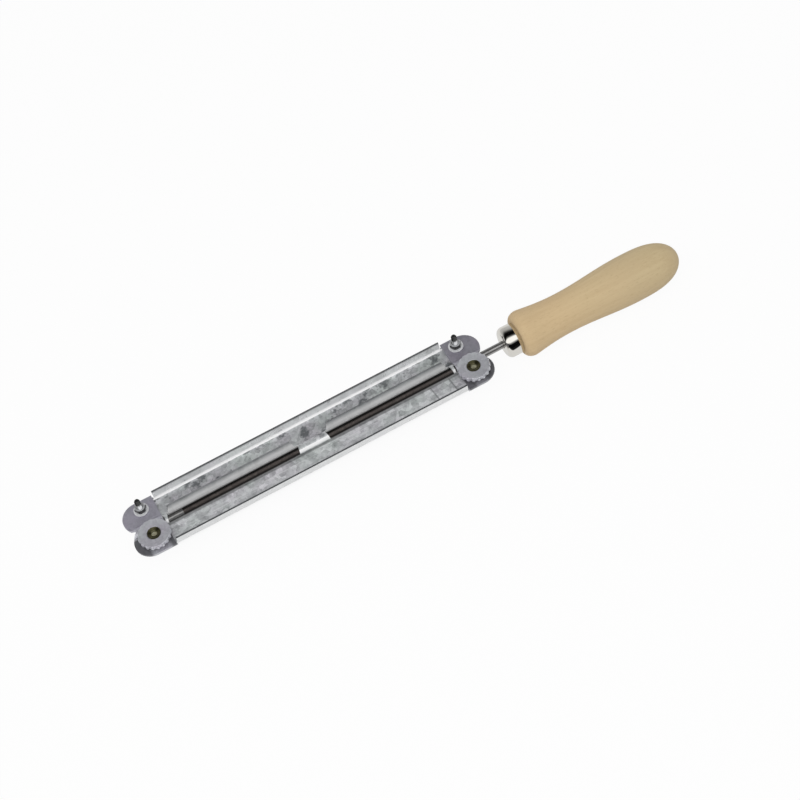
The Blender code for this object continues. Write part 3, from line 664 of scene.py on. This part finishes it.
def copy_of(piece, shift):
    """A moved copy with a mesh of its own."""
    take(piece)
    bpy.ops.object.duplicate()
    twin = bpy.context.active_object
    bpy.ops.transform.translate(value=shift)
    place_in_mesh(twin)
    return twin


def ease_edges(piece, width, sharp_deg=35.0, segments=2):
    """Rounds a piece's sharp edges a little."""
    ease = piece.modifiers.new("eased_edges", "BEVEL")
    ease.width = width
    ease.segments = segments
    ease.limit_method = "ANGLE"
    ease.angle_limit = math.radians(sharp_deg)
    apply_modifiers(piece)


def settle(piece, node, smooth_deg=35.0):
    """Shades a finished piece and gives it its node, body, slot and finish."""
    take(piece)
    bpy.ops.object.shade_smooth_by_angle(angle=math.radians(smooth_deg))
    piece.name = node + "_dressed"
    piece.data.name = piece.name
    piece.data.materials.clear()
    piece.data.materials.append(MATERIALS[SLOT_OF[node]])
    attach(piece, BODY_OF[node])
    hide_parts(node)


def solid_copy(node):
    """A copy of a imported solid, its loose triangles merged and its flat faces made whole."""
    piece = bpy.data.objects.new(node + "_dressed", NODES[node].data.copy())
    bpy.context.scene.collection.objects.link(piece)
    take(piece)
    bpy.ops.object.mode_set(mode="EDIT")
    bpy.ops.mesh.select_all(action="SELECT")
    bpy.ops.mesh.remove_doubles(threshold=MERGE)
    bpy.ops.mesh.dissolve_limited(angle_limit=math.radians(0.5))
    bpy.ops.object.mode_set(mode="OBJECT")
    return piece


def arc(centre, radius, start_deg, end_deg, steps):
    """(radius, height) points on a circle, from one angle to another."""
    points = []
    for step in range(steps + 1):
        angle = math.radians(start_deg + (end_deg - start_deg) * step / steps)
        points.append((centre[0] + radius * math.cos(angle), centre[1] + radius * math.sin(angle)))
    return points


def lathe_points(points):
    """(radius, height) points as the (place along the axis, radius) points of a turned outline."""
    return [(height, radius) for radius, height in points]


# ---------------------------------------------------------------- sheet pieces

EASED_EDGE = {
    "guide_plate": 0.0,
    "left_clamp_cap": 0.0,
    "right_clamp_cap": 0.0,
    "left_clamp_jaw": 0.0002,
    "right_clamp_jaw": 0.0002,
    "left_rivet_spacer": 0.0002,
    "right_rivet_spacer": 0.0002,
}


def make_sheet_pieces():
    """The plate, caps, jaws and spacers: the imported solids, where need be with their edges eased."""
    for node, width in EASED_EDGE.items():
        piece = solid_copy(node)
        if width:
            ease_edges(piece, width)
        settle(piece, node, 25.0)
        even = piece.modifiers.new("even_shading", "WEIGHTED_NORMAL")
        even.keep_sharp = True
        apply_modifiers(piece)


# ---------------------------------------------------------------- clamp fittings

DISC_THICKNESS = 0.0025
DISC_BORE = 0.0025
DISC_SINK = 0.0038
DISC_HUB = 0.0031
SCALLOP_COUNT = 18
SCALLOP_RADIUS = 0.0012
SCALLOP_SET_OUT = 0.0006
SCALLOP_START = math.radians(10)


def make_disc():
    """A grip disc: a turned blank with a rolled rim, a hub and a countersink, and its scallops."""
    low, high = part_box("left_grip_disc")
    centre = foot_place("left_hollow_rivet")
    top = high.z
    under = top - DISC_THICKNESS
    rim = (high.x - low.x) / 2
    blank = [
        (top - 0.0012, DISC_BORE),
        (top - 0.000225, DISC_SINK),
        (top - 0.0001, DISC_SINK),
        (top, DISC_SINK + 0.0001),
        (top, rim - 0.0006),
        (top - 0.0001, rim - 0.00035),
        (top - 0.00035, rim - 0.0001),
        (top - 0.0006, rim),
        (under + 0.0001, rim),
        (under, rim - 0.0001),
        (under, DISC_HUB + 0.0001),
        (under - 0.0001, DISC_HUB),
        (low.z, DISC_HUB),
        (low.z, DISC_BORE),
    ]
    disc = turn_piece("grip_disc", blank, centre, (0, 0, 1), sides=144, ring=True)
    away = rim + SCALLOP_SET_OUT
    spot = Vector((away * math.cos(SCALLOP_START), away * math.sin(SCALLOP_START), top - 0.001))
    bpy.ops.object.select_all(action="DESELECT")
    bpy.ops.mesh.primitive_cylinder_add(
        vertices=40, radius=SCALLOP_RADIUS, depth=0.006, location=centre + spot
    )
    cutter = bpy.context.active_object
    turns = SCALLOP_COUNT - 1
    swept = 2 * math.pi * turns / SCALLOP_COUNT
    bpy.ops.object.mode_set(mode="EDIT")
    bpy.ops.mesh.spin(steps=turns, dupli=True, angle=swept, center=centre, axis=(0, 0, 1))
    bpy.ops.object.mode_set(mode="OBJECT")
    cut(disc, cutter)
    ease_edges(disc, 0.00006, 50.0)
    return disc


RIVET_RADIUS = 0.0022
RIVET_BORE = 0.0014
RIVET_FOOT = 0.0034
RIVET_FOOT_HEIGHT = 0.0017
RIVET_FOOT_ROLL = 0.0007


def make_rivet():
    """A hollow rivet: rolled over in the disc's countersink, and rolled under the jaw."""
    low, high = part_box("left_hollow_rivet")
    top = high.z
    foot = low.z
    rolled = foot + RIVET_FOOT_ROLL
    flat_top = foot + RIVET_FOOT_HEIGHT
    lip = arc((0.00328, top - 0.00022), 0.00022, 150, -35, 6)
    roll = arc((RIVET_FOOT - RIVET_FOOT_ROLL, rolled), RIVET_FOOT_ROLL, 0, -90, 5)
    inner_roll = arc((RIVET_BORE + RIVET_FOOT_ROLL, rolled), RIVET_FOOT_ROLL, -90, -180, 5)
    outline = lathe_points(lip)
    outline += [(top - 0.00088, RIVET_RADIUS + 0.00002), (top - 0.0011, RIVET_RADIUS)]
    outline += [(flat_top, RIVET_RADIUS), (flat_top, RIVET_FOOT), (rolled, RIVET_FOOT)]
    outline += lathe_points(roll[1:] + inner_roll)
    outline += [
        (top - 0.0012, RIVET_BORE),
        (top - 0.00085, 0.0015),
        (top - 0.00055, 0.0020),
        (top - 0.0003, 0.0026),
    ]
    centre = foot_place("left_hollow_rivet")
    return turn_piece("hollow_rivet", outline, centre, (0, 0, 1), sides=64, ring=True)


SCREW_PITCH = 0.0005
SCREW_ROOT = 0.00122
SCREW_SHANK = 0.00145
SCREW_HEAD = 0.0028
SCREW_HEAD_HEIGHT = 0.0017
SCREW_HEAD_ROUND = 0.0006
SCREW_SLOT = (0.008, 0.0008, 0.0014)
THREAD_FOOT = 0.0112
THREAD_DEPTH = 0.00032
THREAD_WIDTH = 0.00042


def make_thread(centre, top):
    """A ridge wound round a screw's root."""
    start = Vector((centre.x + SCREW_ROOT - 0.00004, centre.y, THREAD_FOOT))
    crest = start + Vector((THREAD_DEPTH, 0, THREAD_WIDTH / 2))
    end = start + Vector((0, 0, THREAD_WIDTH))
    ridge = draw_line("thread", [start, crest, end, start])
    close_up(ridge)
    bpy.context.scene.cursor.location = centre
    bpy.ops.object.origin_set(type="ORIGIN_CURSOR", center="MEDIAN")
    bpy.context.scene.cursor.location = (0, 0, 0)
    wind = ridge.modifiers.new("wind", "SCREW")
    wind.screw_offset = SCREW_PITCH
    wind.iterations = int((top - 0.0005 - THREAD_FOOT) / SCREW_PITCH)
    wind.steps = 32
    wind.render_steps = 32
    apply_modifiers(ridge)
    place_in_mesh(ridge)
    bpy.ops.object.mode_set(mode="EDIT")
    bpy.ops.mesh.select_all(action="SELECT")
    bpy.ops.mesh.fill_holes(sides=4)
    bpy.ops.object.mode_set(mode="OBJECT")
    close_up(ridge)
    return ridge


def make_screw():
    """A slotted screw: head, shank, a wound thread and a chamfered tip."""
    low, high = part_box("left_clamp_screw")
    centre = foot_place("left_clamp_screw")
    foot = low.z
    top = high.z
    head_top = foot + SCREW_HEAD_HEIGHT
    head = arc((SCREW_HEAD - SCREW_HEAD_ROUND, foot + SCREW_HEAD_ROUND), SCREW_HEAD_ROUND, -90, 0, 6)
    outline = [(foot, 0)] + lathe_points(head)
    outline += [
        (head_top, SCREW_HEAD),
        (head_top, SCREW_SHANK),
        (THREAD_FOOT - 0.0002, SCREW_SHANK),
        (THREAD_FOOT, SCREW_ROOT),
        (top - 0.0003, SCREW_ROOT),
        (top, SCREW_ROOT - 0.00035),
        (top, 0),
    ]
    screw = turn_piece("clamp_screw", outline, centre, (0, 0, 1), sides=48)
    bpy.ops.object.select_all(action="DESELECT")
    slot_place = (centre.x, centre.y, foot)
    bpy.ops.mesh.primitive_cube_add(size=1, location=slot_place, scale=SCREW_SLOT)
    slot = bpy.context.active_object
    place_in_mesh(slot)
    cut(screw, slot)
    ease_edges(screw, 0.00005, 50.0)
    return join(screw, [make_thread(centre, top)])


WASHER_BORE = 0.0018


def make_washer():
    """A plain washer with eased rims."""
    low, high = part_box("left_screw_washer")
    centre = foot_place("left_screw_washer")
    rim = (high.x - low.x) / 2
    outline = [(low.z, WASHER_BORE), (high.z, WASHER_BORE), (high.z, rim), (low.z, rim)]
    washer = turn_piece("screw_washer", outline, centre, (0, 0, 1), sides=96, ring=True)
    ease_edges(washer, 0.00015, 50.0, 3)
    return washer


NUT_ACROSS_FLATS = 0.0055
NUT_CORNER = NUT_ACROSS_FLATS / 2 / math.cos(math.pi / 6)
NUT_BORE = 0.00155
NUT_SINK = 0.00035


def make_nut():
    """A hexagon nut: a six-sided bar cut by a chamfered turned blank, its front faces marked for
    painted shade.
    """
    low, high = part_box("left_clamp_nut")
    centre = foot_place("left_clamp_nut")
    bar_place = (centre.x, centre.y, (low.z + high.z) / 2)
    bar_turn = (0, 0, math.radians(30))
    bpy.ops.object.select_all(action="DESELECT")
    bpy.ops.mesh.primitive_cylinder_add(
        vertices=6, radius=NUT_CORNER, depth=0.006, location=bar_place, rotation=bar_turn
    )
    nut = bpy.context.active_object
    place_in_mesh(nut)
    blank = [
        (low.z, NUT_BORE + NUT_SINK),
        (low.z, NUT_CORNER - 0.00045),
        (low.z + 0.00026, NUT_CORNER + 0.00001),
        (high.z - 0.00026, NUT_CORNER + 0.00001),
        (high.z, NUT_CORNER - 0.00045),
        (high.z, NUT_BORE + NUT_SINK),
        (high.z - NUT_SINK, NUT_BORE),
        (low.z + NUT_SINK, NUT_BORE),
    ]
    cut(nut, turn_piece("nut_blank", blank, centre, (0, 0, 1), sides=96, ring=True), "INTERSECT")
    ease_edges(nut, 0.00005, 40.0)
    # Painted shade: the faces turned to the near side are marked, to be painted dark.
    front_shade = nut.data.attributes.new("front_painted_shade", "FLOAT", "FACE")
    for face, value in zip(nut.data.polygons, front_shade.data):
        value.value = 0.95 if face.normal.y < -0.2 and face.normal.z > -0.3 else 0.0
    return nut


def at_both_ends(part, make, smooth_deg):
    """Makes the left end's fitting, and moves a copy of it to the right end."""
    piece = make()
    shift = middle("right_" + part) - middle("left_" + part)
    twin = copy_of(piece, shift)
    settle(piece, "left_" + part, smooth_deg)
    settle(twin, "right_" + part, smooth_deg)


# ---------------------------------------------------------------- file, ferrule and handle

TOOTH_COUNT = 9
TOOTH_SHAPE = (1.0, 0.972, 0.945, 0.925, 0.918)
TOOTH_LEAD = 0.0060
TURN_STEPS = 30
TANG_LENGTH = 0.0450
TANG_SHOULDER = 0.0020
TANG_TIP = 0.0008
CORE_RADIUS = FILE_RADIUS - 0.0002
GROUND_RADIUS = FILE_RADIUS - 0.00008


def make_teeth():
    """The cut length of the file: a toothed circle wound along it."""
    samples = len(TOOTH_SHAPE)
    bpy.ops.object.select_all(action="DESELECT")
    bpy.ops.mesh.primitive_circle_add(
        vertices=TOOTH_COUNT * samples,
        radius=FILE_RADIUS,
        location=(FILE_CUT_START, FILE_Y, FILE_Z),
        rotation=(0, math.pi / 2, 0),
    )
    teeth = bpy.context.active_object
    for sample, share in enumerate(TOOTH_SHAPE):
        choose_corners(teeth, lambda corner: corner.index % samples == sample)
        bpy.ops.transform.resize(value=(1, share, share), center_override=teeth.location)
    bpy.ops.object.mode_set(mode="OBJECT")
    length = FILE_CUT_END - FILE_CUT_START
    wind = teeth.modifiers.new("wind", "SCREW")
    wind.angle = 2 * math.pi * length / TOOTH_LEAD
    wind.screw_offset = length
    wind.steps = int(length / TOOTH_LEAD * TURN_STEPS)
    wind.render_steps = wind.steps
    apply_modifiers(teeth)
    bpy.ops.object.mode_set(mode="EDIT")
    bpy.ops.mesh.select_all(action="SELECT")
    bpy.ops.mesh.fill_holes(sides=TOOTH_COUNT * samples)
    bpy.ops.object.mode_set(mode="OBJECT")
    place_in_mesh(teeth)
    close_up(teeth)
    return teeth


def make_file():
    """The round file: smooth toe, spiral teeth, smooth neck and tang."""
    front = FILE_LOW.x
    rear = FILE_HIGH.x
    heel = rear - TANG_LENGTH
    centre = (0, FILE_Y, FILE_Z)
    toe = [
        (front, 0),
        (front, FILE_RADIUS - 0.0005),
        (front + 0.0001, FILE_RADIUS - 0.00035),
        (front + 0.0005, GROUND_RADIUS),
        (front + 0.0012, FILE_RADIUS - 0.00005),
        (FILE_CUT_START - 0.0004, FILE_RADIUS - 0.00005),
        (FILE_CUT_START, CORE_RADIUS),
        (FILE_CUT_START, 0),
    ]
    piece = turn_piece("round_file", toe, centre, (1, 0, 0), sides=64)
    neck = [
        (FILE_CUT_END, 0),
        (FILE_CUT_END, CORE_RADIUS),
        (FILE_CUT_END + 0.0004, GROUND_RADIUS),
        (heel, GROUND_RADIUS),
        (heel + TANG_SHOULDER, CORE_RADIUS),
        (rear, TANG_TIP),
        (rear, 0),
    ]
    shank = turn_piece("shank", neck, centre, (1, 0, 0), sides=64)
    join(piece, [shank, make_teeth()])
    settle(piece, "round_file", 38.0)


FERRULE_ROUND = 0.0030
FERRULE_WALL = 0.0008
FERRULE_HOLE = 0.0023


def make_ferrule():
    """A drawn nickel cup: straight wall, rounded shoulder, small front hole and an eased rear lip."""
    low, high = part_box("ferrule")
    radius = (high.y - low.y) / 2
    front = low.x
    rear = high.x
    bend = (front + FERRULE_ROUND, radius - FERRULE_ROUND)
    outline = [(rear, radius - 0.0001), (rear - 0.0001, radius)]
    outline += arc(bend, FERRULE_ROUND, 90, 180, 14)
    outline += [
        (front, FERRULE_HOLE + 0.0001),
        (front + 0.0001, FERRULE_HOLE),
        (front + FERRULE_WALL, FERRULE_HOLE),
    ]
    outline += arc(bend, FERRULE_ROUND - FERRULE_WALL, 180, 90, 10)
    outline += [(rear, radius - FERRULE_WALL)]
    centre = (0, FILE_Y, FILE_Z)
    ferrule = turn_piece("ferrule", outline, centre, (1, 0, 0), sides=128, ring=True)
    settle(ferrule, "ferrule", 45.0)


BEAD_RADIUS = 0.0127
BEAD_FACE_RADIUS = 0.0091
WAIST_RADIUS = 0.0108
BELLY_RADIUS = 0.0130
BEAD_SHARE = 0.052
WAIST_SHARE = 0.290
BELLY_SHARE = 0.700
NECK_POWER = 0.62
END_POWER = 3.0
NOSE_RADIUS = 0.00735
NOSE_ROUND = 0.0030
HANDLE_STATIONS = 60


def ease_in_out(share):
    """Rises from 0 to 1 with level ends."""
    return (1 - math.cos(math.pi * share)) / 2


def wood_radius(share):
    """The handle's radius behind its bead, at a share of its length."""
    if share < WAIST_SHARE:
        fallen = ((share - BEAD_SHARE) / (WAIST_SHARE - BEAD_SHARE)) ** NECK_POWER
        return BEAD_RADIUS - (BEAD_RADIUS - WAIST_RADIUS) * ease_in_out(fallen)
    if share < BELLY_SHARE:
        risen = (share - WAIST_SHARE) / (BELLY_SHARE - WAIST_SHARE)
        return WAIST_RADIUS + (BELLY_RADIUS - WAIST_RADIUS) * ease_in_out(risen)
    closed = (share - BELLY_SHARE) / (1 - BELLY_SHARE)
    return BELLY_RADIUS * math.sqrt(max(0.0, 1 - closed**END_POWER))


def make_handle():
    """The turned handle: a nose in the ferrule, a rounded bead, a waist, a belly and a blunt end."""
    low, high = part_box("handle")
    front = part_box("ferrule")[1].x + 0.0001
    length = high.x - front
    bead_length = BEAD_SHARE * length
    outline = [
        (low.x, 0),
        (low.x, NOSE_RADIUS - NOSE_ROUND),
        (low.x + NOSE_ROUND, NOSE_RADIUS),
        (front, NOSE_RADIUS),
    ]
    for along, out in arc((0, 0), 1.0, 180, 90, 12):
        place = front + bead_length + along * bead_length
        outline.append((place, BEAD_FACE_RADIUS + out * (BEAD_RADIUS - BEAD_FACE_RADIUS)))
    for station in range(1, HANDLE_STATIONS + 1):
        share = BEAD_SHARE + (1 - BEAD_SHARE) * ease_in_out(station / HANDLE_STATIONS)
        outline.append((front + share * length, wood_radius(share)))
    handle = turn_piece("handle", outline, (0, FILE_Y, FILE_Z), (1, 0, 0), sides=128)
    settle(handle, "handle", 50.0)


make_sheet_pieces()
at_both_ends("grip_disc", make_disc, 30.0)
at_both_ends("hollow_rivet", make_rivet, 40.0)
at_both_ends("clamp_screw", make_screw, 30.0)
at_both_ends("screw_washer", make_washer, 30.0)
at_both_ends("clamp_nut", make_nut, 25.0)
make_file()
make_ferrule()
make_handle()


# ---------------------------------------------------------------- studio


# The stretch of floor under the plate, painted dark as its shadow, and the near strip that
# the polished pieces see dark
SHADED_X = (-0.142, 0.028)
SHADED_Y = (0.004, 0.012)
NEAR_FLAG_Y = (-0.058, -0.042)


def make_floor():
    """A pale floor that the camera sees near white, with a soft shadow under the plate, partly real
    and partly painted on.
    """
    bpy.ops.object.select_all(action="DESELECT")
    bpy.ops.mesh.primitive_plane_add(size=6.0, location=(0, 0, 0))
    floor = bpy.context.active_object
    floor.name = "studio_floor"
    material, nodes, shader, where = new_material("studio_floor")
    x, y = nodes.axes(where)[:2]
    # Painted shadow: under the plate the floor is painted dark and glows less, so that its real shadow
    # shows there too.
    under = nodes.times(nodes.between(x, SHADED_X, 0.014), nodes.between(y, SHADED_Y, 0.012))
    shader.inputs["Roughness"].default_value = 0.9
    shader.inputs["Specular IOR Level"].default_value = 0.0
    path = nodes.add("ShaderNodeLightPath").outputs
    flag = nodes.scale_to(y, *NEAR_FLAG_Y, 0.01, 0.76)
    level = nodes.mix(path["Is Glossy Ray"], grey(1.0), flag)
    pale = nodes.mix(under, grey(0.85), grey(0.2))
    nodes.join(nodes.mix(1.0, pale, level, "MULTIPLY"), shader.inputs["Base Color"])
    glow = nodes.add("ShaderNodeEmission")
    nodes.join(level, glow.inputs["Strength"])
    seen = nodes.math("ADD", path["Is Camera Ray"], path["Is Glossy Ray"])
    open_floor = nodes.scale_to(under, 0.0, 1.0, 1.0, 0.15)
    blend = nodes.add("ShaderNodeMixShader")
    nodes.join(nodes.times(seen, 0.94, open_floor), blend.inputs[0])
    nodes.join(shader.outputs[0], blend.inputs[1])
    nodes.join(glow.outputs[0], blend.inputs[2])
    nodes.join(blend.outputs[0], material.node_tree.nodes["Material Output"].inputs["Surface"])
    floor.data.materials.append(material)


# What metal sees round the file's axis: degrees from straight up towards the near side, and level
STUDIO_BANDS = [
    (-180, 0.9),
    (-95, 0.6),
    (-60, 0.46),
    (-50, 0.34),
    (-36, 0.06),
    (-25, 0.002),
    (-3, 0.002),
    (7, 0.12),
    (18, 1.15),
    (46, 1.15),
    (55, 0.34),
    (64, 0.004),
    (90, 0.002),
    (106, 0.7),
    (180, 0.9),
]


def make_world():
    """Even light for all colours, and for metal a long soft box overhead between two dark flags."""
    world = bpy.data.worlds.new("studio")
    bpy.context.scene.world = world
    world.use_nodes = True
    nodes = Nodes(world.node_tree)
    backdrop = world.node_tree.nodes["Background"]
    direction = nodes.axes(nodes.add("ShaderNodeTexCoord").outputs["Generated"])
    angle = nodes.math("ARCTAN2", nodes.times(direction[1], -1.0), direction[2])
    ramp = nodes.add("ShaderNodeValToRGB")
    nodes.join(nodes.rise(angle, (-math.pi, math.pi)), ramp.inputs[0])
    bar = ramp.color_ramp
    while len(bar.elements) < len(STUDIO_BANDS):
        bar.elements.new(0.5)
    for element, (degrees, level) in zip(bar.elements, STUDIO_BANDS):
        element.position = (degrees + 180) / 360
        element.color = grey(level)
    path = nodes.add("ShaderNodeLightPath").outputs
    plain = nodes.mix(path["Is Camera Ray"], grey(0.6), grey(1.0))
    level = nodes.mix(path["Is Glossy Ray"], plain, ramp.outputs[0])
    nodes.join(level, backdrop.inputs["Color"])
    backdrop.inputs["Strength"].default_value = 1.0


def make_lamp():
    """One large soft lamp above the near side."""
    data = bpy.data.lights.new("soft_lamp", "AREA")
    data.shape = "RECTANGLE"
    data.size = 0.9
    data.size_y = 0.5
    data.energy = 3.8
    lamp = bpy.data.objects.new("soft_lamp", data)
    bpy.context.scene.collection.objects.link(lamp)
    lamp.location = (-0.25, -0.42, 0.88)
    lamp.rotation_euler = (Vector((0, 0, 0)) - lamp.location).to_track_quat("-Z", "Y").to_euler()
    lamp.visible_glossy = False


def make_camera():
    """The photograph's view: from the near side, a little towards the toe, and rolled."""
    data = bpy.data.cameras.new("camera")
    data.lens = 90.0
    data.sensor_width = 36.0
    data.clip_start = 0.05
    data.clip_end = 20.0
    camera = bpy.data.objects.new("camera", data)
    bpy.context.scene.collection.objects.link(camera)
    camera.location = (-0.156704, -0.580246, 0.842484)
    camera.rotation_euler = [math.radians(v) for v in (34.7846, 9.1071, -27.4035)]
    bpy.context.scene.camera = camera


make_floor()
make_world()
make_lamp()
make_camera()
bpy.context.scene.view_settings.view_transform = "Standard"
